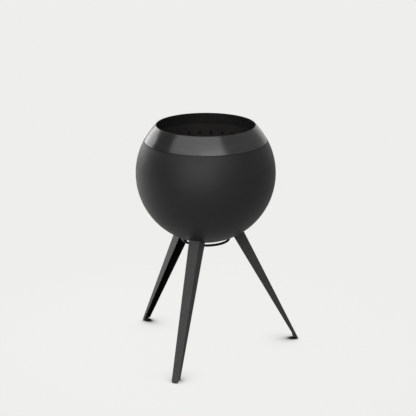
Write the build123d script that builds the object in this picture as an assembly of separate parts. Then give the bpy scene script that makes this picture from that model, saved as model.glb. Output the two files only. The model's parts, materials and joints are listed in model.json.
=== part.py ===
from build123d import *
import os
from math import asin, cos, degrees, hypot, radians, sin, sqrt

# Fire basket: a steel ball, open at the top, on three folded sheet legs.
# Millimetres, +Z up. The origin is on the ball's axis, at ground level.
# The front leg points along -Y and a little to -X.

# Ball
BALL_RADIUS = 225.0
BALL_Z = 600.0
BOWL_SHEET = 2.0
SEAM_Z = 708.0
RIM_Z = 760.0

# Collar: a zone of a slightly smaller sphere, so that it sits in from the bowl's edge
COLLAR_RADIUS = 221.6
COLLAR_BALL_Z = 605.5
COLLAR_SHEET = 1.5
COLLAR_GAP = 1.2

# Bowl mouth, stepped in under the collar and turned inwards as a ledge
STEP_DEPTH = 2.1
MOUTH_GAP = 0.4
MOUTH_TOP_Z = 718.0
MOUTH_SHEET = 2.0
MOUTH_RADIUS = 180.0

# Air inlets and drain in the bowl's underside
INLET_COUNT = 12
INLET_RADIUS = 7.0
INLET_CIRCLE = 45.0
DRAIN_RADIUS = 6.0

# Legs: folded channels, open towards the middle
LEG_SHEET = 2.5
LEG_TOP_Z = 430.0
LEG_FACE_FOOT = 319.0
LEG_FACE_LEAN = 0.490
LEG_EDGE_FOOT = 309.4
LEG_EDGE_LEAN = 0.569
LEG_WIDTH_FOOT = 22.6
LEG_WIDTH_GROWTH = 0.0311
FLANGE_FLARE = 0.190
LEG_BEND = 2.5
FLANGE_END_Z = 8.0
TONGUE_LIFT = 0.6
BALL_TO_LEG = 0.6
LEG_MEETS_BALL_Z = 408.0
LEG_AZIMUTHS = {"front": -107.8, "right": 12.2, "rear": 132.2}

# Holes, grate and pan line up with the right leg, so its plane mirrors the whole
LINE_UP = LEG_AZIMUTHS["right"]

# Brackets and the ring that ties them
BRACKET_SHEET = 4.0
BRACKET_WIDTH = 22.0
SADDLE_INNER_RADIUS = 72.0
SADDLE_END_Z = 400.0
PRONG_LENGTH = 84.0
PRONG_TOP_Z = 420.0
SEAT_GAP = 0.1
RING_RADIUS = 76.0
RING_ROD = 4.0
RING_SEAT = 0.4

# Weld studs in the legs, with their washers and nuts
STUD_RADIUS = 3.0
STUD_LENGTH = 13.6
STUD_STATIONS = (28.0, 62.0)
STUD_CLEARANCE = 0.3
STUD_WASHER_RADIUS = 6.0
STUD_NUT_FLATS = 10.0
STUD_NUT_HEIGHT = 5.0

# Washers, on studs and bolts alike
WASHER_SHEET = 1.6
WASHER_CLEARANCE = 0.2

# Bolts through saddle, bowl, spacer and heat shield
BOLT_RADIUS = 4.0
BOLT_CLEARANCE = 0.3
BOLT_LEAN = degrees(asin(96.0 / BALL_RADIUS))
BOLT_LENGTH = 35.0
BOLT_FLATS = 13.0
BOLT_HEAD_HEIGHT = 5.3
BOLT_NUT_HEIGHT = 6.5
BOLT_WASHER_RADIUS = 8.0
SPACER_RADIUS = 7.0
SPACER_BOWL_GAP = 0.15

# Heat shield, concentric with the ball
SHIELD_RADIUS = 206.5
SHIELD_SHEET = 1.5
SHIELD_EDGE = 128.0
SHIELD_WASHER_GAP = 0.2

# Liner that holds the fire
LINER_RADIUS = 179.0
LINER_SHEET = 1.5
LINER_FLOOR_Z = 456.0
LINER_FLANGE_RADIUS = 187.4
LIFT_GAP = 0.3
LOW_HOLES = 24
LOW_HOLE_RADIUS = 5.0
LOW_HOLE_LEAN = 46.6
HIGH_HOLES = 30
HIGH_HOLE_RADIUS = 4.0
HIGH_HOLE_Z = 688.0

# Grate
GRATE_RADIUS = 147.2
GRATE_Z = 502.0
GRATE_THICKNESS = 10.0
GRATE_BORDER = 13.0
GRATE_BAR = 8.0
GRATE_CROSS_BAR = 12.0
GRATE_PITCH = 26.0
GRATE_BARS_EACH_SIDE = 4
GRATE_BOSS = 17.0
GRATE_BOSS_HOLE = 7.0

# Ash pan and its strap handle
PAN_RADIUS = 96.0
PAN_SHEET = 1.2
PAN_HEIGHT = 28.0
PAN_CORNER = 7.0
PAN_RIM = 4.0
HANDLE_WIDTH = 14.0
HANDLE_SHEET = 2.0
HANDLE_TOP_Z = 497.5
HANDLE_FOOT_Z = 466.0
HANDLE_BEND = 7.0
RIVET_HEIGHTS = (470.5, 478.5)
RIVET_RADIUS = 2.0
RIVET_HEAD_RADIUS = 3.5
RIVET_HEAD_HEIGHT = 1.5

# Foot plates and glides
FOOT_PLATE = 3.0
FOOT_PLATE_INWARD = 4.5
GLIDE_CIRCLE = 306.0
GLIDE_RADIUS = 4.0
GLIDE_STEM = 2.5
GLIDE_HEAD = 3.3
GLIDE_HEAD_HEIGHT = 1.8

# Running clearance of rivets and stems, and how far cutting shapes reach past a sheet
RIVET_CLEARANCE = 0.05
CUT_PAST = 5.0
CUT_REACH = 40.0

# Derived
FACE_SLOPE = hypot(1, LEG_FACE_LEAN)
FACE_DEPTH = LEG_SHEET * FACE_SLOPE
FLANGE_DEPTH = LEG_SHEET * hypot(1, FLANGE_FLARE)
FACE_TILT = degrees(asin(LEG_FACE_LEAN / FACE_SLOPE))
TONGUE_CORNER = (FLANGE_END_Z - TONGUE_LIFT) * FACE_SLOPE
PRONG_FOOT_Z = LEG_MEETS_BALL_Z - PRONG_LENGTH * cos(radians(FACE_TILT))
SHIELD_INSIDE = SHIELD_RADIUS - SHIELD_SHEET - SHIELD_WASHER_GAP
UPWARDS = (Align.CENTER, Align.CENTER, Align.MIN)


def sphere_radius(radius, centre_z, z):
    """Distance from the axis at height z on a sphere centred on the axis."""
    return sqrt(radius**2 - (z - centre_z) ** 2)


def sphere_arc(radius, centre_z, low_z, high_z):
    """Arc of a sphere's outline between two heights, in the plane of axis and radius."""
    angles = [degrees(asin((z - centre_z) / radius)) for z in (low_z, high_z)]
    return CenterArc((0, centre_z), radius, angles[0], angles[1] - angles[0])


def turned(*edges):
    """Solid turned about the vertical axis from a closed outline of edges."""
    return revolve(Plane.XZ * make_face(list(edges)), Axis.Z)


def upright(sketch, width):
    """Solid that spreads an outline of radius and height evenly to both sides."""
    return extrude(Plane.XZ * sketch, amount=width / 2, both=True)


def at_azimuth(angle, shape):
    """Shape turned about the vertical axis."""
    return Rot(0, 0, angle) * shape


def all_round(shape, count):
    """Copies of a shape evenly round the vertical axis, the first in line with the right leg."""
    return [at_azimuth(LINE_UP + 360 * i / count, shape) for i in range(count)]


def standing_cylinder(radius, low_z, high_z, x=0.0):
    """Vertical cylinder between two heights."""
    return Pos(x, 0, low_z) * Cylinder(radius, high_z - low_z, align=UPWARDS)


def down_from_ball(lean):
    """Place at the ball's centre whose Z leans from straight down towards +X."""
    return Pos(0, 0, BALL_Z) * Rot(0, -lean, 0) * Rot(180, 0, 0)


def from_ball(lean, start, end, radius):
    """Cylinder along a radius of the ball, between two distances from its centre."""
    rod = Cylinder(radius, end - start, align=UPWARDS)
    return down_from_ball(lean) * Pos(0, 0, start) * rod


def hexagon_from_ball(lean, start, end, across_flats):
    """Hexagonal prism along a radius of the ball."""
    outline = RegularPolygon(across_flats / 2, 6, major_radius=False)
    return down_from_ball(lean) * Pos(0, 0, start) * extrude(outline, amount=end - start)


def bolt_hole(sheet_inside, sheet_outside):
    """Clearance hole of a mounting bolt through a sheet that follows the ball."""
    start, end = sheet_inside - CUT_PAST, sheet_outside + CUT_PAST
    return from_ball(BOLT_LEAN, start, end, BOLT_RADIUS + BOLT_CLEARANCE)


def rivet_hole(z):
    """Hole across the whole pan at a rivet's height."""
    radius = RIVET_RADIUS + RIVET_CLEARANCE
    return Pos(0, 0, z) * Rot(0, 90, 0) * Cylinder(radius, 3 * PAN_RADIUS)


def leg_face(z):
    """Radius of a leg's outer face at height z."""
    return LEG_FACE_FOOT - LEG_FACE_LEAN * z


def leg_edge(z):
    """Radius of a leg's open edge at height z."""
    return LEG_EDGE_FOOT - LEG_EDGE_LEAN * z


def leg_half_width(z, radius):
    """Half the leg's outer width at height z, at a radius behind its face."""
    return (LEG_WIDTH_FOOT + LEG_WIDTH_GROWTH * z) / 2 + FLANGE_FLARE * (leg_face(z) - radius)


def level_outline(points, z):
    """Face at height z from the points on one side, mirrored to the other."""
    mirrored = [(x, -y) for x, y in reversed(points)]
    return Pos(0, 0, z) * make_face(Polyline(*points, *mirrored, close=True))


def channel_outline(z):
    """Level section through a leg: the U of face and two flanges."""
    face, edge = leg_face(z), leg_edge(z)
    inside = face - FACE_DEPTH
    half_inside = leg_half_width(z, inside) - FLANGE_DEPTH
    points = [
        (inside, half_inside),
        (edge, leg_half_width(z, edge) - FLANGE_DEPTH),
        (edge, leg_half_width(z, edge)),
        (face, leg_half_width(z, face)),
    ]
    return level_outline(points, z)


def hollow_outline(z, edge):
    """Level section through the space inside a leg, in to a radius of edge."""
    inside = leg_face(z) - FACE_DEPTH - SEAT_GAP
    points = [(r, leg_half_width(z, r) - FLANGE_DEPTH - SEAT_GAP) for r in (inside, edge)]
    return level_outline(points, z)


def face_plane(z):
    """Plane in a leg's outer face: origin at height z, y up the face, facing outwards."""
    normal = (cos(radians(FACE_TILT)), 0, sin(radians(FACE_TILT)))
    return Plane(origin=(leg_face(z), 0, z), x_dir=(0, 1, 0), z_dir=normal)


def leg_blank():
    """Folded channel from the ground to inside the ball, with its bends rounded."""
    blank = loft([channel_outline(0), channel_outline(LEG_TOP_Z)], ruled=True)
    long_edges = blank.edges().filter_by(lambda edge: edge.length > LEG_TOP_Z)
    outer_bends = long_edges.group_by(Axis.X)[-1]
    return fillet(outer_bends, LEG_BEND)


def flange_cut():
    """What is cut from a leg behind its face, below the flanges' ends."""
    outline = Polyline(
        (leg_face(FLANGE_END_Z) - FACE_DEPTH, FLANGE_END_Z),
        (leg_face(-CUT_PAST) - FACE_DEPTH, -CUT_PAST),
        (leg_edge(0) - CUT_REACH, -CUT_PAST),
        (leg_edge(0) - CUT_REACH, FLANGE_END_Z),
        close=True,
    )
    return upright(make_face(outline), 2 * LEG_WIDTH_FOOT)


def tongue_cut():
    """What is cut from a leg's face to leave a tongue with round corners at the ground."""
    half_width = leg_half_width(FLANGE_END_Z, leg_face(FLANGE_END_Z))
    span = Pos(0, -half_width) * Rectangle(4 * half_width, 2 * half_width + 2 * TONGUE_CORNER)
    tongue = Pos(0, 2 * half_width) * RectangleRounded(
        2 * half_width, 4 * half_width, TONGUE_CORNER
    )
    return extrude(face_plane(TONGUE_LIFT) * (span - tongue), amount=2 * LEG_SHEET, both=True)


def leg():
    """One leg: channel, top cut to the ball and tongue at the foot."""
    ball = Pos(0, 0, BALL_Z) * Sphere(BALL_RADIUS + BALL_TO_LEG)
    return leg_blank() - ball - flange_cut() - tongue_cut()


def stud_plane(station):
    """Plane on the inside of a leg's face, a distance below the ball, facing inwards."""
    outside = face_plane(LEG_MEETS_BALL_Z - station * cos(radians(FACE_TILT)))
    inward = -outside.z_dir
    return Plane(origin=outside.origin + inward * LEG_SHEET, x_dir=(0, 1, 0), z_dir=inward)


def at_studs(sketch, start, thickness):
    """A flat piece at each stud of one leg, a distance in from the leg's face."""
    return [
        stud_plane(station).offset(start) * extrude(sketch, amount=thickness)
        for station in STUD_STATIONS
    ]


def leg_studs():
    """Weld studs on the inside of one leg's face."""
    return at_studs(Circle(STUD_RADIUS), 0, STUD_LENGTH)


def stud_washers():
    """Washers between prong and nut on one leg."""
    ring = Circle(STUD_WASHER_RADIUS) - Circle(STUD_RADIUS + WASHER_CLEARANCE)
    return at_studs(ring, SEAT_GAP + BRACKET_SHEET, WASHER_SHEET)


def stud_nuts():
    """Hexagon nuts on one leg's weld studs."""
    outline = RegularPolygon(STUD_NUT_FLATS / 2, 6, major_radius=False) - Circle(STUD_RADIUS)
    return at_studs(outline, SEAT_GAP + BRACKET_SHEET + WASHER_SHEET, STUD_NUT_HEIGHT)


def saddle_outline():
    """Band under the ball, from near the ring out to the inside of a leg's face."""
    near = BALL_RADIUS + SEAT_GAP
    far = near + BRACKET_SHEET
    radii = (SADDLE_INNER_RADIUS, leg_face(SADDLE_END_Z) - FACE_DEPTH)
    leans = [asin(radius / near) for radius in radii]
    ends = [(2 * far * sin(lean), BALL_Z - 2 * far * cos(lean)) for lean in leans]
    wedge = make_face(Polyline((0, BALL_Z), *ends, close=True))
    return Pos(0, BALL_Z) * (Circle(far) - Circle(near)) & wedge


def prong_side(z, depth):
    """Point at height z, a level depth behind the inside of a leg's face."""
    return (leg_face(z) - FACE_DEPTH - depth, z)


def prong_outline():
    """Strip down the inside of a leg's face, up to the ball."""
    near = SEAT_GAP * FACE_SLOPE
    far = near + BRACKET_SHEET * FACE_SLOPE
    outer = [prong_side(z, near) for z in (PRONG_FOOT_Z, PRONG_TOP_Z)]
    inner = [prong_side(z, far) for z in (PRONG_TOP_Z, PRONG_FOOT_Z)]
    strip = make_face(Polyline(*outer, *inner, close=True))
    return strip - Pos(0, BALL_Z) * Circle(BALL_RADIUS + SEAT_GAP)


def beyond_prong():
    """What lies outside the prong's outer side."""
    near = SEAT_GAP * FACE_SLOPE
    side = [prong_side(z, near) for z in (PRONG_FOOT_Z, PRONG_TOP_Z)]
    corner = (leg_face(PRONG_FOOT_Z) + CUT_REACH, PRONG_TOP_Z)
    return make_face(Polyline(*side, corner, close=True))


def bracket():
    """Bent strap: a saddle under the ball and a prong down the inside of the leg's face."""
    outline = saddle_outline() + prong_outline() - beyond_prong()
    strap = upright(outline, BRACKET_WIDTH)
    strap -= bolt_hole(BALL_RADIUS, BALL_RADIUS + SEAT_GAP + BRACKET_SHEET)
    for station in STUD_STATIONS:
        hole = Circle(STUD_RADIUS + STUD_CLEARANCE)
        strap -= extrude(stud_plane(station) * hole, amount=2 * BRACKET_SHEET, both=True)
    return strap


def base_ring():
    """Rod ring under the saddles' inner ends."""
    distance = BALL_RADIUS + SEAT_GAP + BRACKET_SHEET + RING_SEAT + RING_ROD
    ring_z = BALL_Z - sqrt(distance**2 - RING_RADIUS**2)
    return Pos(0, 0, ring_z) * Torus(RING_RADIUS, RING_ROD)


def foot_plate():
    """Plate across the lower end of a leg, with the glide's hole."""
    edge = GLIDE_CIRCLE - FOOT_PLATE_INWARD
    low, high = FLANGE_END_Z, FLANGE_END_Z + FOOT_PLATE
    plate = loft([hollow_outline(low, edge), hollow_outline(high, edge)], ruled=True)
    hole_radius = GLIDE_STEM + RIVET_CLEARANCE
    return plate - standing_cylinder(hole_radius, low - CUT_PAST, high + CUT_PAST, GLIDE_CIRCLE)


def glide():
    """Peg that stands on the ground, riveted over above the foot plate."""
    peg_top = FLANGE_END_Z - SEAT_GAP
    head_low = FLANGE_END_Z + FOOT_PLATE + SEAT_GAP
    head_high = head_low + GLIDE_HEAD_HEIGHT
    peg = standing_cylinder(GLIDE_RADIUS, 0, peg_top, GLIDE_CIRCLE)
    stem = standing_cylinder(GLIDE_STEM, peg_top - GLIDE_STEM, head_high, GLIDE_CIRCLE)
    head = standing_cylinder(GLIDE_HEAD, head_low, head_high, GLIDE_CIRCLE)
    return peg + stem + head


def bowl_blank():
    """Turned outer bowl with its stepped mouth."""
    inner = BALL_RADIUS - BOWL_SHEET
    lip_outer = COLLAR_RADIUS - COLLAR_SHEET - MOUTH_GAP
    lip_inner = lip_outer - MOUTH_SHEET
    under_step = SEAM_Z - STEP_DEPTH
    under_lip = MOUTH_TOP_Z - MOUTH_SHEET
    shoulder = sphere_radius(BALL_RADIUS, BALL_Z, SEAM_Z)
    lip_foot = sphere_radius(lip_outer, COLLAR_BALL_Z, SEAM_Z)
    lip_top = sphere_radius(lip_outer, COLLAR_BALL_Z, MOUTH_TOP_Z)
    inner_top = sphere_radius(lip_inner, COLLAR_BALL_Z, under_lip)
    inner_foot = sphere_radius(lip_inner, COLLAR_BALL_Z, under_step)
    inner_step = sphere_radius(inner, BALL_Z, under_step)
    return turned(
        sphere_arc(BALL_RADIUS, BALL_Z, BALL_Z - BALL_RADIUS, SEAM_Z),
        Line((shoulder, SEAM_Z), (lip_foot, SEAM_Z)),
        sphere_arc(lip_outer, COLLAR_BALL_Z, SEAM_Z, MOUTH_TOP_Z),
        Polyline(
            (lip_top, MOUTH_TOP_Z),
            (MOUTH_RADIUS, MOUTH_TOP_Z),
            (MOUTH_RADIUS, under_lip),
            (inner_top, under_lip),
        ),
        sphere_arc(lip_inner, COLLAR_BALL_Z, under_step, under_lip),
        Line((inner_foot, under_step), (inner_step, under_step)),
        sphere_arc(inner, BALL_Z, BALL_Z - inner, under_step),
        Line((0, BALL_Z - inner), (0, BALL_Z - BALL_RADIUS)),
    )


def bowl_shell():
    """Outer bowl with air inlets, drain and bolt holes."""
    bottom = BALL_Z - BALL_RADIUS
    inlet_top = BALL_Z - sphere_radius(BALL_RADIUS, 0, INLET_CIRCLE + INLET_RADIUS) + CUT_PAST
    shell = bowl_blank() - standing_cylinder(DRAIN_RADIUS, bottom - CUT_PAST, bottom + CUT_PAST)
    inlet = standing_cylinder(INLET_RADIUS, bottom - CUT_PAST, inlet_top, INLET_CIRCLE)
    for hole in all_round(inlet, INLET_COUNT):
        shell -= hole
    for hole in on_each_leg([bolt_hole(BALL_RADIUS - BOWL_SHEET, BALL_RADIUS)]):
        shell -= hole
    return shell


def collar():
    """Band from the bowl's shoulder to the open mouth, cut level at both ends."""
    low_z = SEAM_Z + COLLAR_GAP
    inner = COLLAR_RADIUS - COLLAR_SHEET
    ends = [
        [(sphere_radius(r, COLLAR_BALL_Z, z), z) for r in (COLLAR_RADIUS, inner)]
        for z in (low_z, RIM_Z)
    ]
    return turned(
        sphere_arc(COLLAR_RADIUS, COLLAR_BALL_Z, low_z, RIM_Z),
        Line(*ends[0]),
        sphere_arc(inner, COLLAR_BALL_Z, low_z, RIM_Z),
        Line(*ends[1]),
    )


def heat_shield():
    """Dish above the air inlets, with a drain in the middle and holes for its bolts."""
    inner = SHIELD_RADIUS - SHIELD_SHEET
    edge_outer = BALL_Z - sphere_radius(SHIELD_RADIUS, 0, SHIELD_EDGE)
    edge_inner = BALL_Z - sphere_radius(inner, 0, SHIELD_EDGE)
    bottom = BALL_Z - SHIELD_RADIUS
    dish = turned(
        sphere_arc(SHIELD_RADIUS, BALL_Z, bottom, edge_outer),
        Line((SHIELD_EDGE, edge_outer), (SHIELD_EDGE, edge_inner)),
        sphere_arc(inner, BALL_Z, BALL_Z - inner, edge_inner),
        Line((0, BALL_Z - inner), (0, bottom)),
    )
    dish -= standing_cylinder(DRAIN_RADIUS, bottom - CUT_PAST, bottom + CUT_PAST)
    for hole in on_each_leg([bolt_hole(inner, SHIELD_RADIUS)]):
        dish -= hole
    return dish


def mounting_bolt():
    """Hexagon bolt along a radius of the ball, head outside under the saddle."""
    seat = BALL_RADIUS + 2 * SEAT_GAP + BRACKET_SHEET + WASHER_SHEET
    shank = from_ball(BOLT_LEAN, seat - BOLT_LENGTH, seat + BOLT_HEAD_HEIGHT / 2, BOLT_RADIUS)
    return shank + hexagon_from_ball(BOLT_LEAN, seat, seat + BOLT_HEAD_HEIGHT, BOLT_FLATS)


def bored(start, end, radius):
    """Tube along a mounting bolt, with a washer's clearance round the bolt."""
    bore_radius = BOLT_RADIUS + WASHER_CLEARANCE
    bore = from_ball(BOLT_LEAN, start - CUT_PAST, end + CUT_PAST, bore_radius)
    return from_ball(BOLT_LEAN, start, end, radius) - bore


def mounting_washers():
    """Washers under one bolt's head and under its nut."""
    outside = BALL_RADIUS + 1.5 * SEAT_GAP + BRACKET_SHEET
    starts = (outside, SHIELD_INSIDE - WASHER_SHEET)
    return [bored(start, start + WASHER_SHEET, BOLT_WASHER_RADIUS) for start in starts]


def mounting_spacer():
    """Tube that holds the heat shield off the bowl."""
    end = BALL_RADIUS - BOWL_SHEET - SPACER_BOWL_GAP
    return bored(SHIELD_RADIUS + SEAT_GAP / 2, end, SPACER_RADIUS)


def mounting_nut():
    """Hexagon nut above the heat shield."""
    end = SHIELD_INSIDE - WASHER_SHEET - SEAT_GAP / 2
    nut = hexagon_from_ball(BOLT_LEAN, end - BOLT_NUT_HEIGHT, end, BOLT_FLATS)
    start = end - BOLT_NUT_HEIGHT - CUT_PAST
    return nut - from_ball(BOLT_LEAN, start, end + CUT_PAST, BOLT_RADIUS)


def liner_blank():
    """Turned inner bowl: round floor, curved lower half, straight wall, hanging flange."""
    inner = LINER_RADIUS - LINER_SHEET
    floor_under = LINER_FLOOR_Z - LINER_SHEET
    flange_low = MOUTH_TOP_Z + LIFT_GAP
    flange_high = flange_low + LINER_SHEET
    return turned(
        Line((0, floor_under), (sphere_radius(LINER_RADIUS, BALL_Z, floor_under), floor_under)),
        sphere_arc(LINER_RADIUS, BALL_Z, floor_under, BALL_Z),
        Polyline(
            (LINER_RADIUS, BALL_Z),
            (LINER_RADIUS, flange_low),
            (LINER_FLANGE_RADIUS, flange_low),
            (LINER_FLANGE_RADIUS, flange_high),
            (inner, flange_high),
            (inner, BALL_Z),
        ),
        sphere_arc(inner, BALL_Z, LINER_FLOOR_Z, BALL_Z),
        Line((sphere_radius(inner, BALL_Z, LINER_FLOOR_Z), LINER_FLOOR_Z), (0, LINER_FLOOR_Z)),
        Line((0, LINER_FLOOR_Z), (0, floor_under)),
    )


def fire_liner():
    """Inner bowl with a drain, low holes under the grate and high holes near the top."""
    inner = LINER_RADIUS - LINER_SHEET
    low_z, high_z = LINER_FLOOR_Z - LINER_SHEET - CUT_PAST, LINER_FLOOR_Z + CUT_PAST
    liner = liner_blank() - standing_cylinder(DRAIN_RADIUS, low_z, high_z)
    span = (inner - CUT_PAST, LINER_RADIUS + CUT_PAST)
    low_hole = from_ball(LOW_HOLE_LEAN, *span, LOW_HOLE_RADIUS)
    level_rod = Rot(0, 90, 0) * Cylinder(HIGH_HOLE_RADIUS, 2 * CUT_PAST)
    high_hole = Pos(LINER_RADIUS, 0, HIGH_HOLE_Z) * level_rod
    for hole in all_round(low_hole, LOW_HOLES) + all_round(high_hole, HIGH_HOLES):
        liner -= hole
    return liner


def fire_grate():
    """Round cast grate: border, parallel bars, one cross bar and a boss with a lifting hole."""
    border = Circle(GRATE_RADIUS) - Circle(GRATE_RADIUS - GRATE_BORDER)
    inside = Circle(GRATE_RADIUS - GRATE_BORDER / 2)
    outline = border + (inside & Rectangle(2 * GRATE_RADIUS, GRATE_CROSS_BAR))
    for i in range(-GRATE_BARS_EACH_SIDE, GRATE_BARS_EACH_SIDE + 1):
        bar = Pos(GRATE_PITCH * i, 0) * Rectangle(GRATE_BAR, 2 * GRATE_RADIUS)
        outline += inside & bar
    outline += Circle(GRATE_BOSS)
    outline -= Circle(GRATE_BOSS_HOLE)
    return Pos(0, 0, GRATE_Z) * extrude(outline, amount=GRATE_THICKNESS)


def pan_blank():
    """Turned tray with rounded floor corner and a narrow rim turned outwards."""
    floor = LINER_FLOOR_Z + LIFT_GAP
    top = floor + PAN_HEIGHT
    inner = PAN_RADIUS - PAN_SHEET
    centre = (PAN_RADIUS - PAN_CORNER, floor + PAN_CORNER)
    return turned(
        Line((0, floor), (PAN_RADIUS - PAN_CORNER, floor)),
        CenterArc(centre, PAN_CORNER, -90, 90),
        Polyline(
            (PAN_RADIUS, floor + PAN_CORNER),
            (PAN_RADIUS, top - PAN_SHEET),
            (PAN_RADIUS + PAN_RIM, top - PAN_SHEET),
            (PAN_RADIUS + PAN_RIM, top),
            (inner, top),
            (inner, floor + PAN_CORNER),
        ),
        CenterArc(centre, PAN_CORNER - PAN_SHEET, -90, 90),
        Line((PAN_RADIUS - PAN_CORNER, floor + PAN_SHEET), (0, floor + PAN_SHEET)),
        Line((0, floor + PAN_SHEET), (0, floor)),
    )


def ash_pan():
    """Ash pan with the rivet holes of its handle."""
    pan = pan_blank()
    for z in RIVET_HEIGHTS:
        pan -= rivet_hole(z)
    return pan


def strap_radius():
    """Distance from the axis to the outside of the handle's upright ends."""
    inner_wall = PAN_RADIUS - PAN_SHEET
    return sqrt(inner_wall**2 - (HANDLE_WIDTH / 2) ** 2) - SEAT_GAP


def arch_outline(half_span, top_z, bend):
    """Upright outline down to the handle's feet, with its two top corners rounded."""
    points = [
        (-half_span, HANDLE_FOOT_Z),
        (-half_span, top_z),
        (half_span, top_z),
        (half_span, HANDLE_FOOT_Z),
    ]
    outline = make_face(Polyline(*points, close=True))
    return fillet(outline.vertices().group_by(Axis.Y)[-1], bend)


def pan_handle():
    """Strap arched over the pan, its ends flat against the inside of the wall."""
    outer = strap_radius()
    outside = arch_outline(outer, HANDLE_TOP_Z, HANDLE_BEND)
    bend = HANDLE_BEND - HANDLE_SHEET
    inside = arch_outline(outer - HANDLE_SHEET, HANDLE_TOP_Z - HANDLE_SHEET, bend)
    strap = upright(outside - inside, HANDLE_WIDTH)
    for z in RIVET_HEIGHTS:
        strap -= rivet_hole(z)
    return strap


def handle_rivet(z):
    """Rivet through pan wall and strap on the +X side, with a head at each end."""
    inside = strap_radius() - HANDLE_SHEET
    span = PAN_RADIUS - inside
    reach = span + 2 * RIVET_HEAD_HEIGHT
    head = Cylinder(RIVET_HEAD_RADIUS, RIVET_HEAD_HEIGHT, align=UPWARDS)
    shank = Pos(0, 0, -RIVET_HEAD_HEIGHT) * Cylinder(RIVET_RADIUS, reach, align=UPWARDS)
    inner_head = Pos(0, 0, -RIVET_HEAD_HEIGHT - SEAT_GAP) * head
    outer_head = Pos(0, 0, span + SEAT_GAP) * head
    return Pos(inside, 0, z) * Rot(0, 90, 0) * (shank + inner_head + outer_head)


def handle_rivets():
    """The rivets at both ends of the pan's handle."""
    return [at_azimuth(end, handle_rivet(z)) for end in (0, 180) for z in RIVET_HEIGHTS]


def on_each_leg(shapes):
    """The same shapes on all three legs."""
    return [at_azimuth(angle, shape) for angle in LEG_AZIMUTHS.values() for shape in shapes]


def middle_pieces():
    """The nodes round the axis, by name."""
    return {
        "bowl_shell": bowl_shell(),
        "collar": collar(),
        "base_ring": base_ring(),
        "heat_shield": heat_shield(),
        "fire_liner": fire_liner(),
        "fire_grate": at_azimuth(LINE_UP, fire_grate()),
        "ash_pan": at_azimuth(LINE_UP, ash_pan()),
        "pan_handle": at_azimuth(LINE_UP, pan_handle()),
        "handle_rivets": at_azimuth(LINE_UP, Compound(handle_rivets())),
    }


def leg_pieces():
    """Each leg's own nodes, by name."""
    makers = {"leg": leg, "bracket": bracket, "foot_plate": foot_plate, "glide": glide}
    return {
        f"{side}_{piece}": at_azimuth(angle, make())
        for side, angle in LEG_AZIMUTHS.items()
        for piece, make in makers.items()
    }


def fasteners():
    """The groups of alike fasteners, by name."""
    groups = {
        "leg_studs": leg_studs(),
        "leg_washers": stud_washers(),
        "leg_nuts": stud_nuts(),
        "mounting_bolts": [mounting_bolt()],
        "mounting_washers": mounting_washers(),
        "mounting_spacers": [mounting_spacer()],
        "mounting_nuts": [mounting_nut()],
    }
    return {name: Compound(on_each_leg(shapes)) for name, shapes in groups.items()}


os.makedirs("parts", exist_ok=True)
for pieces in (middle_pieces(), leg_pieces(), fasteners()):
    for name, shape in pieces.items():
        export_step(shape, f"parts/{name}.step")
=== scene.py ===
import bpy
import json
from math import cos, radians, sin
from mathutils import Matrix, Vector


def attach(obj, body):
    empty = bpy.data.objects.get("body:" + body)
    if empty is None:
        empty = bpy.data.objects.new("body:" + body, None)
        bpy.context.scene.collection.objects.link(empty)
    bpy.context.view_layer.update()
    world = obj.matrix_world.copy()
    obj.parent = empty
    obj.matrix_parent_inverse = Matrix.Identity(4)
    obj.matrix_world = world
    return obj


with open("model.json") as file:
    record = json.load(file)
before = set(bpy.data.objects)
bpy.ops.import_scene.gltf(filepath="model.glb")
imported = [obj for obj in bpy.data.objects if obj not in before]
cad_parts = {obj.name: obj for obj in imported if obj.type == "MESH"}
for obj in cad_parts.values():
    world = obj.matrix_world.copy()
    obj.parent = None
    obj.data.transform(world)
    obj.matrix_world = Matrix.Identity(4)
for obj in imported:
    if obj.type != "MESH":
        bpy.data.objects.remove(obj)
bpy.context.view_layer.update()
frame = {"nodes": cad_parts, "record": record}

# Places and lengths are in metres in the object's frame, and angles in degrees.

# The photograph's camera; its sensor is in mm
CAMERA_PLACE = (0.0, -4.176, 1.79095)
CAMERA_PITCH = 17.41
CAMERA_YAW = 0.10
FOCAL_PIXELS = 1351.06
FRAME_PIXELS = 416
SENSOR = 36.0

# The room: the backdrop's colour, how far to the back a direction points where gloss
# mirrors it, and the strength of light and of shine in gloss from left to right
BACKDROP = (0.855, 0.855, 0.838)
BACKDROP_SPAN = (0.65, 0.95)
ROOM_COLOUR = (1, 1, 1)
ROOM_SPAN = (-0.8, 0.8)
ROOM_LIGHT = (0.30, 0.14)
ROOM_SHINE = (0.22, 0.40)

# Lamps: name, place, what the lamp points at, width and height, watts, shows in gloss
BALL_MIDDLE = (0, 0, 0.62)
LEGS_MIDDLE = (0, 0, 0.3)
LAMPS = (
    ("left_panel", (-2.06, 2.19, 1.15), BALL_MIDDLE, (2.0, 1.6), 18, True),
    ("front_panel", (0.75, -2.5, 2.2), BALL_MIDDLE, (2.4, 1.6), 7.5, True),
    ("low_panel", (-0.65, -2.8, 1.3), BALL_MIDDLE, (3.2, 2.0), 28.5, True),
    ("side_panel", (-1.97, 1.38, 0.35), LEGS_MIDDLE, (1.2, 1.0), 112, False),
)
OVERHEAD_PLACE = (-1.02, -2.01, 3.0)
OVERHEAD_TURN = 29.4
OVERHEAD_SIZE = (4.6, 4.4)
OVERHEAD_WATTS = 47

# The floor: its size, and how far from the axis it fades into the backdrop
FLOOR_RADIUS = 6.0
FLOOR_SIDES = 96
FLOOR_FADE = (0.45, 0.95)
FLOOR_COLOUR = (0.25, 0.25, 0.245)

# The floor's pale tone: its level, its share in what the camera sees, and its share in
# what gloss mirrors, which is larger in a painted pool of light behind the object on the left
PALE_LEVEL = 1.098
PALE_SHARE = 0.90
PALE_IN_GLOSS = 0.28
LIT_POOL_IN_GLOSS = 0.80
LIT_POOL_PLACE = (-1.9, 1.7, 0)
LIT_POOL_FADE = (0.7, 2.2)
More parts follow.
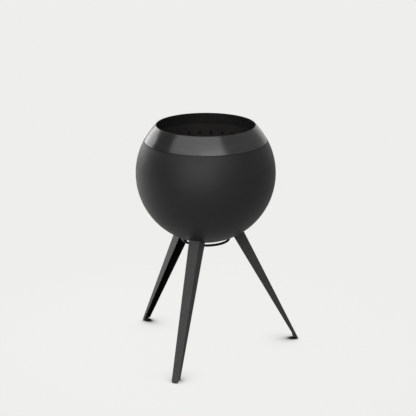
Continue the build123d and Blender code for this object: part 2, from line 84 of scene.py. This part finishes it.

# The floor's painted shadow under the feet: it ends at a distance from the axis, and stays
# faint close to the front leg's toe
CONTACT_SAMPLES = 32
CONTACT_REACH = 0.12
CONTACT_POWER = 2.2
CONTACT_STRENGTH = 10.0
CONTACT_SHADOW_COLOUR = (0.0, 0.0, 0.0)
CONTACT_EDGE = (0.312, 0.331)
FRONT_TOE = (-0.0945, -0.2942, 0)
CLEAR_OF_TOE = (0.010, 0.025)
SHADE_AT_TOE = 0.3

# Where the legs stand, as the CAD has it
LEG_AZIMUTHS = {"front": -107.8, "right": 12.2, "rear": 132.2}

# Weld bead: the sides of its section, its thickness at the ends and at even and odd
# steps as shares of its radius, and the angle up to which it is shaded smooth
BEAD_SIDES = 14
BEAD_END = 0.5
BEAD_STEPS = (0.86, 1.0)
BEAD_SMOOTH = 75

# Weld between the base ring and each saddle: its arc outside the rod, under the saddle
RING_WELD_REACH = 0.0782
RING_WELD_Z = 0.3827
RING_WELD_HALF_ANGLE = 6.6
RING_WELD_RADIUS = 0.0021
RING_WELD_STEPS = 16

# Welds between a foot plate and its leg's two flanges, on top of the plate: how far out
# and how far to the side each one starts and ends
FOOT_WELD_IN = (0.3028, 0.01045)
FOOT_WELD_OUT = (0.3092, 0.00925)
FOOT_WELD_Z = 0.0114
FOOT_WELD_RADIUS = 0.0013
FOOT_WELD_STEPS = 8

# The collar's sphere, as the CAD has it, what counts as its inside and its rim, and how
# far the soot's edge takes to come up
COLLAR_CENTRE = (0, 0, 0.6055)
COLLAR_INSIDE = 0.2209
RIM_TOP = 0.7597
SOOT_EDGE = 0.0002

# The collar's steel: noise scales along each axis that lay the brushing round it, and how
# far and which way, as a share of a turn, its gloss is drawn out
BRUSHED_STEEL = ((0.093, 0.0905, 0.092), (0.123, 0.1202, 0.122))
BRUSHED_ROUGHNESS = (0.17, 0.27)
BRUSHING = (14, 14, 620)
BRUSH_LINES = (5, 5, 300)
BRUSH_DEPTH = 0.000004
GLOSS_DRAWN_OUT = 0.45
GLOSS_TURN = 0.25

# The collar's soot
SOOT = ((0.020, 0.020, 0.020), (0.034, 0.033, 0.032))
SOOT_ROUGHNESS = (0.75, 0.90)
SOOT_PATCHES = 40
SOOT_GRAIN = 500

# The legs' coat outside the channel, and painted shade, darker and matt, inside it
LEG_COAT = ((0.061, 0.061, 0.0615), (0.085, 0.085, 0.0855))
LEG_CHANNEL_SHADE = ((0.0015, 0.0015, 0.0015), (0.003, 0.003, 0.003))
LEG_SATIN = (0.36, 0.46)
LEG_MATT = (0.75, 0.85)
LEG_SPECULAR = 0.15
LEG_PATCHES = 110
LEG_GRAIN = 420
LEG_GRAIN_DEPTH = 0.00006

# The outward part of a face's normal at which it starts to count as inside a leg's
# channel, and at which it fully does, on the flanges and on the back between them
FLANGE_INWARDS = (-0.35, -0.65)
BACK_INWARDS = (-0.45, -0.75)

# Where most of a noise texture's values lie
NOISE_SPAN = (0.3, 0.7)


# Nodes that several materials share

def new_material(name):
    """Material with an empty tree but for its shader and output, and the shader."""
    material = bpy.data.materials.new(name)
    material.use_nodes = True
    tree = material.node_tree
    return material, tree, tree.nodes["Principled BSDF"]


def feed(tree, given, socket):
    """A node's output linked to a socket, or a number, vector or colour set on it."""
    if isinstance(given, bpy.types.NodeSocket):
        tree.links.new(given, socket)
    elif socket.type == "RGBA":
        socket.default_value = (*given, 1)
    else:
        socket.default_value = given


def maths(tree, operation, *given, clamped=False):
    """Sum, product or other join of values and numbers."""
    node = tree.nodes.new("ShaderNodeMath")
    node.operation = operation
    node.use_clamp = clamped
    for value, socket in zip(given, node.inputs):
        feed(tree, value, socket)
    return node.outputs["Value"]


def vector_maths(tree, operation, *given):
    """Distance, cross product or other join of vectors, as a node's outputs."""
    node = tree.nodes.new("ShaderNodeVectorMath")
    node.operation = operation
    for vector, socket in zip(given, node.inputs):
        feed(tree, vector, socket)
    return node.outputs


def parts_of(tree, vector):
    """A vector's X, Y and Z, as a node's outputs."""
    node = tree.nodes.new("ShaderNodeSeparateXYZ")
    tree.links.new(vector, node.inputs["Vector"])
    return node.outputs


def ramp(tree, value, start, end, low=0.0, high=1.0, easing="SMOOTHSTEP"):
    """A value that goes from low to high while another goes from start to end."""
    node = tree.nodes.new("ShaderNodeMapRange")
    node.interpolation_type = easing
    node.inputs["From Min"].default_value = start
    node.inputs["From Max"].default_value = end
    node.inputs["To Min"].default_value = low
    node.inputs["To Max"].default_value = high
    tree.links.new(value, node.inputs["Value"])
    return node.outputs["Result"]


def spread(tree, value, low=0.0, high=1.0):
    """A noise value spread evenly between two numbers."""
    return ramp(tree, value, *NOISE_SPAN, low, high, easing="LINEAR")


def blend(tree, kind, share, first, second):
    """Two values or two colours mixed by a share."""
    node = tree.nodes.new("ShaderNodeMix")
    node.data_type = kind
    feed(tree, share, node.inputs["Factor"])
    feed(tree, first, node.inputs["A"])
    feed(tree, second, node.inputs["B"])
    return node.outputs["Result"]


def blend_values(tree, share, first, second):
    """Two values mixed by a share."""
    return blend(tree, "FLOAT", share, first, second)


def blend_colours(tree, share, first, second):
    """Two colours, plain or varied, mixed by a share."""
    return blend(tree, "RGBA", share, first, second)


def blend_shaders(tree, share, first, second):
    """Two shaders mixed by a share."""
    node = tree.nodes.new("ShaderNodeMixShader")
    for given, socket in zip((share, first, second), node.inputs):
        tree.links.new(given, socket)
    return node.outputs["Shader"]


def object_coordinates(tree, scale=(1, 1, 1)):
    """Object coordinates, stretched by a scale along each axis."""
    coordinates = tree.nodes.new("ShaderNodeTexCoord")
    mapping = tree.nodes.new("ShaderNodeMapping")
    mapping.inputs["Scale"].default_value = scale
    tree.links.new(coordinates.outputs["Object"], mapping.inputs["Vector"])
    return mapping.outputs["Vector"]


def noise(tree, scale, detail=3.0):
    """Noise from 0 to 1, at one scale or at one along each axis."""
    along_axes = scale if isinstance(scale, tuple) else (scale,) * 3
    texture = tree.nodes.new("ShaderNodeTexNoise")
    texture.inputs["Scale"].default_value = 1.0
    texture.inputs["Detail"].default_value = detail
    tree.links.new(object_coordinates(tree, along_axes), texture.inputs["Vector"])
    return texture.outputs["Fac"]


def mottled(tree, patches, texture):
    """Even share of broad patches and fine texture, from 0 to 1."""
    return spread(tree, maths(tree, "MULTIPLY", maths(tree, "ADD", patches, texture), 0.5))


def relief(tree, shader, value, depth):
    """Bump of a real depth."""
    node = tree.nodes.new("ShaderNodeBump")
    node.inputs["Strength"].default_value = 1.0
    node.inputs["Distance"].default_value = depth
    tree.links.new(value, node.inputs["Height"])
    tree.links.new(node.outputs["Normal"], shader.inputs["Normal"])


# Finishes

def surface(name, colours, patches, roughness, grain, depth, metallic=0.0, specular=0.5):
    """Surface whose colour drifts in patches, with a grain in roughness and relief."""
    material, tree, shader = new_material(name)
    shader.inputs["Metallic"].default_value = metallic
    shader.inputs["Specular IOR Level"].default_value = specular
    texture = noise(tree, grain, detail=4.0)
    mottle = mottled(tree, noise(tree, patches), texture)
    tree.links.new(blend_colours(tree, mottle, *colours), shader.inputs["Base Color"])
    tree.links.new(spread(tree, texture, *roughness), shader.inputs["Roughness"])
    relief(tree, shader, texture, depth)
    return material


def round_the_axis(tree, coordinates):
    """Direction round the object's axis at each point."""
    across = vector_maths(tree, "CROSS_PRODUCT", (0, 0, 1), coordinates)["Vector"]
    return vector_maths(tree, "NORMALIZE", across)["Vector"]


def soot_on_collar(tree, place):
    """1 on the collar's inside and its rim, 0 on its outside."""
    distance = vector_maths(tree, "DISTANCE", place, COLLAR_CENTRE)["Value"]
    inside = ramp(tree, distance, COLLAR_INSIDE, COLLAR_INSIDE - SOOT_EDGE)
    rim = ramp(tree, parts_of(tree, place)["Z"], RIM_TOP, RIM_TOP + SOOT_EDGE)
    return maths(tree, "MAXIMUM", inside, rim)


def collar_steel():
    """Dark steel brushed round the axis outside, with soot on its rim and inside."""
    material, tree, shader = new_material("collar_steel")
    shader.inputs["Anisotropic"].default_value = GLOSS_DRAWN_OUT
    shader.inputs["Anisotropic Rotation"].default_value = GLOSS_TURN
    place = object_coordinates(tree)
    tree.links.new(round_the_axis(tree, place), shader.inputs["Tangent"])

    sooty = soot_on_collar(tree, place)
    brushing = noise(tree, BRUSHING, detail=6.0)
    lines = mottled(tree, noise(tree, BRUSH_LINES, detail=5.0), brushing)
    steel = blend_colours(tree, lines, *BRUSHED_STEEL)
    soot = blend_colours(tree, spread(tree, noise(tree, SOOT_PATCHES)), *SOOT)
    tree.links.new(blend_colours(tree, sooty, steel, soot), shader.inputs["Base Color"])
    tree.links.new(maths(tree, "SUBTRACT", 1.0, sooty), shader.inputs["Metallic"])
    smooth = spread(tree, brushing, *BRUSHED_ROUGHNESS)
    rough = spread(tree, noise(tree, SOOT_GRAIN), *SOOT_ROUGHNESS)
    tree.links.new(blend_values(tree, sooty, smooth, rough), shader.inputs["Roughness"])
    relief(tree, shader, brushing, BRUSH_DEPTH)
    return material


def turned_to(tree, vector, azimuth):
    """A vector's parts in a leg's own frame: X outwards, Y across the leg."""
    node = tree.nodes.new("ShaderNodeVectorRotate")
    node.rotation_type = "Z_AXIS"
    node.inputs["Angle"].default_value = radians(-azimuth)
    tree.links.new(vector, node.inputs["Vector"])
    return parts_of(tree, node.outputs["Vector"])


def inside_of_leg(tree, azimuth):
    """1 on the faces that look into a leg's channel, where shade is painted, 0 on those that
    look out.
    """
    coordinates = tree.nodes.new("ShaderNodeTexCoord")
    place = turned_to(tree, coordinates.outputs["Object"], azimuth)
    facing = turned_to(tree, coordinates.outputs["Normal"], azimuth)
    outwards = maths(tree, "MULTIPLY", maths(tree, "SIGN", place["Y"]), facing["Y"])
    flange = ramp(tree, outwards, *FLANGE_INWARDS)
    back = ramp(tree, facing["X"], *BACK_INWARDS)
    return maths(tree, "MAXIMUM", flange, back)


def leg_black(name, azimuth):
    """Fine-textured satin black coat, with painted shade, darker and matt, inside the
    channel.
    """
    material, tree, shader = new_material(f"leg_black_{name}")
    shader.inputs["Specular IOR Level"].default_value = LEG_SPECULAR
    inside = inside_of_leg(tree, azimuth)
    texture = noise(tree, LEG_GRAIN, detail=4.0)
    mottle = mottled(tree, noise(tree, LEG_PATCHES), texture)
    coat = blend_colours(tree, mottle, *LEG_COAT)
    # Painted shade inside the channel: a far darker colour than the coat
    channel_shade = blend_colours(tree, mottle, *LEG_CHANNEL_SHADE)
    tree.links.new(blend_colours(tree, inside, coat, channel_shade), shader.inputs["Base Color"])
    satin = spread(tree, texture, *LEG_SATIN)
    matt = spread(tree, texture, *LEG_MATT)
    tree.links.new(blend_values(tree, inside, satin, matt), shader.inputs["Roughness"])
    relief(tree, shader, texture, LEG_GRAIN_DEPTH)
    return material


def materials():
    """A material for each of the record's slots but leg_black: each leg has its own."""
    return {
        "bowl_black": surface(
            "bowl_black", colours=((0.0168, 0.0168, 0.0171), (0.0204, 0.0204, 0.0207)),
            patches=7, roughness=(0.43, 0.48), grain=900, depth=0.00003, specular=0.35),
        "collar_steel": collar_steel(),
        "bracket_black": surface(
            "bracket_black", colours=((0.015, 0.015, 0.015), (0.020, 0.020, 0.020)),
            patches=20, roughness=(0.42, 0.52), grain=1400, depth=0.00002),
        # Black paint, made near-black and darker than the brackets' as painted shade under
        # the ball
        "ring_black": surface(
            "ring_black", colours=((0.002, 0.002, 0.002), (0.004, 0.004, 0.004)),
            patches=20, roughness=(0.20, 0.28), grain=1400, depth=0.000005, specular=0.12),
        "shield_steel": surface(
            "shield_steel", colours=((0.30, 0.29, 0.27), (0.38, 0.37, 0.35)),
            patches=14, roughness=(0.30, 0.42), grain=(60, 60, 1800), depth=0.000006,
            metallic=1.0),
        "liner_steel": surface(
            "liner_steel", colours=((0.018, 0.017, 0.016), (0.045, 0.042, 0.039)),
            patches=16, roughness=(0.62, 0.80), grain=500, depth=0.00008, metallic=0.4),
        "grate_iron": surface(
            "grate_iron", colours=((0.022, 0.021, 0.020), (0.050, 0.046, 0.042)),
            patches=28, roughness=(0.60, 0.82), grain=650, depth=0.00018, metallic=0.3),
        "pan_steel": surface(
            "pan_steel", colours=((0.11, 0.105, 0.10), (0.17, 0.165, 0.16)),
            patches=20, roughness=(0.35, 0.50), grain=900, depth=0.00001, metallic=1.0),
        "fastener_steel": surface(
            "fastener_steel", colours=((0.38, 0.37, 0.35), (0.47, 0.46, 0.44)),
            patches=120, roughness=(0.25, 0.38), grain=2000, depth=0.000005, metallic=1.0),
        "glide_steel": surface(
            "glide_steel", colours=((0.012, 0.012, 0.012), (0.020, 0.020, 0.020)),
            patches=120, roughness=(0.30, 0.45), grain=2000, depth=0.000005),
    }


def dress_nodes(finishes):
    """Each carried-over node in its slot's material; a leg's is turned to its own plane."""
    for part in frame["record"]["subparts"]:
        name, slot = part["node"], part["material_slot"]
        if slot == "leg_black":
            finish = leg_black(name, LEG_AZIMUTHS[name.split("_")[0]])
        else:
            finish = finishes[slot]
        for held in frame["nodes"][name].material_slots:
            held.material = finish


# Welds

def weld_bead(line, radius):
    """Bead along a line of points: drawn out of a small disc, swelling at every other one."""
    bpy.ops.object.select_all(action="DESELECT")
    first, second = Vector(line[0]), Vector(line[1])
    heading = (second - first).to_track_quat("Z", "Y").to_euler()
    bpy.ops.mesh.primitive_circle_add(
        vertices=BEAD_SIDES, radius=BEAD_END * radius, fill_type="NGON",
        location=first, rotation=heading)
    bead = bpy.context.object
    bpy.ops.object.mode_set(mode="EDIT")
    bpy.ops.mesh.select_all(action="SELECT")
    size = BEAD_END
    last = len(line) - 1
    for count in range(1, len(line)):
        step = Vector(line[count]) - Vector(line[count - 1])
        bpy.ops.mesh.extrude_region_move(TRANSFORM_OT_translate={"value": step})
        wanted = BEAD_END if count == last else BEAD_STEPS[count % 2]
        bpy.ops.transform.resize(value=(wanted / size,) * 3, center_override=line[count])
        size = wanted
    bpy.ops.mesh.select_all(action="SELECT")
    bpy.ops.mesh.normals_make_consistent(inside=False)
    bpy.ops.object.mode_set(mode="OBJECT")
    bpy.ops.object.transform_apply(location=True, rotation=True, scale=True)
    rounding = bead.modifiers.new("rounding", "SUBSURF")
    rounding.levels = rounding.render_levels = 1
    bpy.ops.object.modifier_apply(modifier="rounding")
    bpy.ops.object.shade_smooth_by_angle(angle=radians(BEAD_SMOOTH))
    return bead


def on_each_leg(model, name, finish_of):
    """Copies of a piece modelled on the x axis, one turned to each leg, on the stand."""
    for leg, azimuth in LEG_AZIMUTHS.items():
        copy = model.copy()
        copy.data = model.data.copy()
        copy.name = f"{leg}_{name}"
        copy.rotation_euler = (0, 0, radians(azimuth))
        bpy.context.collection.objects.link(copy)
        bpy.ops.object.select_all(action="DESELECT")
        copy.select_set(True)
        bpy.context.view_layer.objects.active = copy
        bpy.ops.object.transform_apply(location=False, rotation=True, scale=False)
        copy.data.materials.append(finish_of(leg))
        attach(copy, "stand")
    bpy.data.objects.remove(model)


def add_ring_welds(finishes):
    """A bead under each saddle, along the outside of the base ring."""
    turns = [radians(RING_WELD_HALF_ANGLE * (2 * count / RING_WELD_STEPS - 1))
             for count in range(RING_WELD_STEPS + 1)]
    line = [(RING_WELD_REACH * cos(turn), RING_WELD_REACH * sin(turn), RING_WELD_Z)
            for turn in turns]
    bead = weld_bead(line, RING_WELD_RADIUS)
    on_each_leg(bead, "ring_weld", lambda leg: finishes["bracket_black"])


def foot_plate_finish(leg):
    """The material on a leg's foot plate."""
    return frame["nodes"][f"{leg}_foot_plate"].material_slots[0].material


def add_foot_welds():
    """Two beads on each foot plate, along the insides of the leg's flanges."""
    beads = []
    for side in (1, -1):
        start = Vector((FOOT_WELD_IN[0], side * FOOT_WELD_IN[1], FOOT_WELD_Z))
        end = Vector((FOOT_WELD_OUT[0], side * FOOT_WELD_OUT[1], FOOT_WELD_Z))
        line = [start.lerp(end, count / FOOT_WELD_STEPS)
                for count in range(FOOT_WELD_STEPS + 1)]
        beads.append(weld_bead(line, FOOT_WELD_RADIUS))
    bpy.ops.object.select_all(action="DESELECT")
    for bead in beads:
        bead.select_set(True)
    bpy.context.view_layer.objects.active = beads[0]
    bpy.ops.object.join()
    on_each_leg(beads[0], "foot_weld", foot_plate_finish)


# Camera, room and lamps

def add_camera():
    """Camera at the photograph's place and angle."""
    data = bpy.data.cameras.new("camera")
    data.sensor_width = SENSOR
    data.lens = FOCAL_PIXELS * SENSOR / FRAME_PIXELS
    camera = bpy.data.objects.new("camera", data)
    camera.location = CAMERA_PLACE
    camera.rotation_euler = (radians(90 - CAMERA_PITCH), 0, radians(-CAMERA_YAW))
    bpy.context.collection.objects.link(camera)
    bpy.context.scene.camera = camera


def seen_by_eye_and_gloss(tree):
    """Light paths to the camera, and those to gloss and glass."""
    path = tree.nodes.new("ShaderNodeLightPath").outputs
    gloss = maths(tree, "MAXIMUM", path["Is Glossy Ray"], path["Is Transmission Ray"])
    return path["Is Camera Ray"], gloss


def add_world():
    """Pale backdrop behind the object, and a dimmer room that lights it."""
    world = bpy.data.worlds.new("studio")
    bpy.context.scene.world = world
    world.use_nodes = True
    tree = world.node_tree
    coordinates = tree.nodes.new("ShaderNodeTexCoord")
    direction = parts_of(tree, coordinates.outputs["Generated"])
    eye, gloss = seen_by_eye_and_gloss(tree)

    room = tree.nodes["Background"]
    feed(tree, ROOM_COLOUR, room.inputs["Color"])
    light = ramp(tree, direction["X"], *ROOM_SPAN, *ROOM_LIGHT)
    shine = ramp(tree, direction["X"], *ROOM_SPAN, *ROOM_SHINE)
    tree.links.new(blend_values(tree, gloss, light, shine), room.inputs["Strength"])

    backdrop = tree.nodes.new("ShaderNodeBackground")
    feed(tree, BACKDROP, backdrop.inputs["Color"])
    behind = maths(tree, "MULTIPLY", gloss, ramp(tree, direction["Y"], *BACKDROP_SPAN))
    seen = maths(tree, "MAXIMUM", eye, behind)
    mix = blend_shaders(tree, seen, room.outputs["Background"],
                        backdrop.outputs["Background"])
    tree.links.new(mix, tree.nodes["World Output"].inputs["Surface"])


def add_lamp(name, place, turn, size, watts, in_gloss=True):
    """Soft rectangular lamp, out of the camera's sight."""
    data = bpy.data.lights.new(name, "AREA")
    data.shape = "RECTANGLE"
    data.size, data.size_y = size
    data.energy = watts
    lamp = bpy.data.objects.new(name, data)
    lamp.location = place
    lamp.rotation_euler = turn
    lamp.visible_camera = False
    lamp.visible_glossy = in_gloss
    bpy.context.collection.objects.link(lamp)


def towards(place, target):
    """Rotation that points a lamp at one place from another."""
    direction = Vector(target) - Vector(place)
    return direction.to_track_quat("-Z", "Y").to_euler()


def add_lamps():
    """Wide panels overhead and low in front, a faint one in front, two behind on the left."""
    add_lamp("overhead_panel", OVERHEAD_PLACE, (0, 0, radians(OVERHEAD_TURN)),
             OVERHEAD_SIZE, OVERHEAD_WATTS)
    for name, place, target, size, watts, in_gloss in LAMPS:
        add_lamp(name, place, towards(place, target), size, watts, in_gloss)


# Floor

def contact_shade(tree, place, from_axis):
    """Painted shadow on the floor where the feet come near it, from 0 to 1."""
    contact = tree.nodes.new("ShaderNodeAmbientOcclusion")
    contact.samples = CONTACT_SAMPLES
    contact.inputs["Distance"].default_value = CONTACT_REACH
    closed = maths(tree, "SUBTRACT", 1.0, contact.outputs["AO"])
    steep = maths(tree, "POWER", closed, CONTACT_POWER)
    dark = maths(tree, "MULTIPLY", steep, CONTACT_STRENGTH, clamped=True)
    edge = ramp(tree, from_axis, *CONTACT_EDGE, 1.0, 0.0)
    from_toe = vector_maths(tree, "DISTANCE", place, FRONT_TOE)["Value"]
    clear_of_toe = ramp(tree, from_toe, *CLEAR_OF_TOE, SHADE_AT_TOE, 1.0)
    return maths(tree, "MULTIPLY", dark, maths(tree, "MULTIPLY", edge, clear_of_toe))


def share_of_pale(tree, place, eye, gloss):
    """The pale tone's share in what the camera sees of the floor and what gloss mirrors, with
    a painted pool of light in gloss.
    """
    from_lit_pool = vector_maths(tree, "DISTANCE", place, LIT_POOL_PLACE)["Value"]
    in_gloss = ramp(tree, from_lit_pool, *LIT_POOL_FADE, LIT_POOL_IN_GLOSS, PALE_IN_GLOSS)
    return maths(tree, "MAXIMUM", maths(tree, "MULTIPLY", eye, PALE_SHARE),
                 maths(tree, "MULTIPLY", gloss, in_gloss))


def floor_material():
    """Pale floor with the object's shadow, partly real and partly painted under the feet,
    which the camera sees through further out.
    """
    material, tree, shader = new_material("floor")
    shader.inputs["Roughness"].default_value = 1.0
    shader.inputs["Specular IOR Level"].default_value = 0.0
    feed(tree, FLOOR_COLOUR, shader.inputs["Base Color"])
    eye, gloss = seen_by_eye_and_gloss(tree)
    place = tree.nodes.new("ShaderNodeTexCoord").outputs["Object"]
    from_axis = vector_maths(tree, "LENGTH", place)["Value"]

    shade = contact_shade(tree, place, from_axis)
    # The pale tone, darkened towards black by the painted shadow under the feet
    pale = tree.nodes.new("ShaderNodeEmission")
    pale.inputs["Strength"].default_value = PALE_LEVEL
    tree.links.new(blend_colours(tree, shade, BACKDROP, CONTACT_SHADOW_COLOUR),
                   pale.inputs["Color"])
    near = blend_shaders(tree, share_of_pale(tree, place, eye, gloss),
                         shader.outputs["BSDF"], pale.outputs["Emission"])

    below = tree.nodes.new("ShaderNodeNewGeometry").outputs["Backfacing"]
    outside = maths(tree, "MAXIMUM", ramp(tree, from_axis, *FLOOR_FADE), below)
    clear = tree.nodes.new("ShaderNodeBsdfTransparent")
    mix = blend_shaders(tree, maths(tree, "MULTIPLY", outside, eye),
                        near, clear.outputs["BSDF"])
    tree.links.new(mix, tree.nodes["Material Output"].inputs["Surface"])
    return material


def add_floor():
    """Round pale floor under the feet."""
    bpy.ops.mesh.primitive_circle_add(
        vertices=FLOOR_SIDES, radius=FLOOR_RADIUS, fill_type="NGON")
    floor = bpy.context.object
    floor.name = "floor"
    floor.data.materials.append(floor_material())


finishes = materials()
dress_nodes(finishes)
add_ring_welds(finishes)
add_foot_welds()
add_camera()
add_world()
add_lamps()
add_floor()
bpy.context.scene.view_settings.view_transform = "Standard"
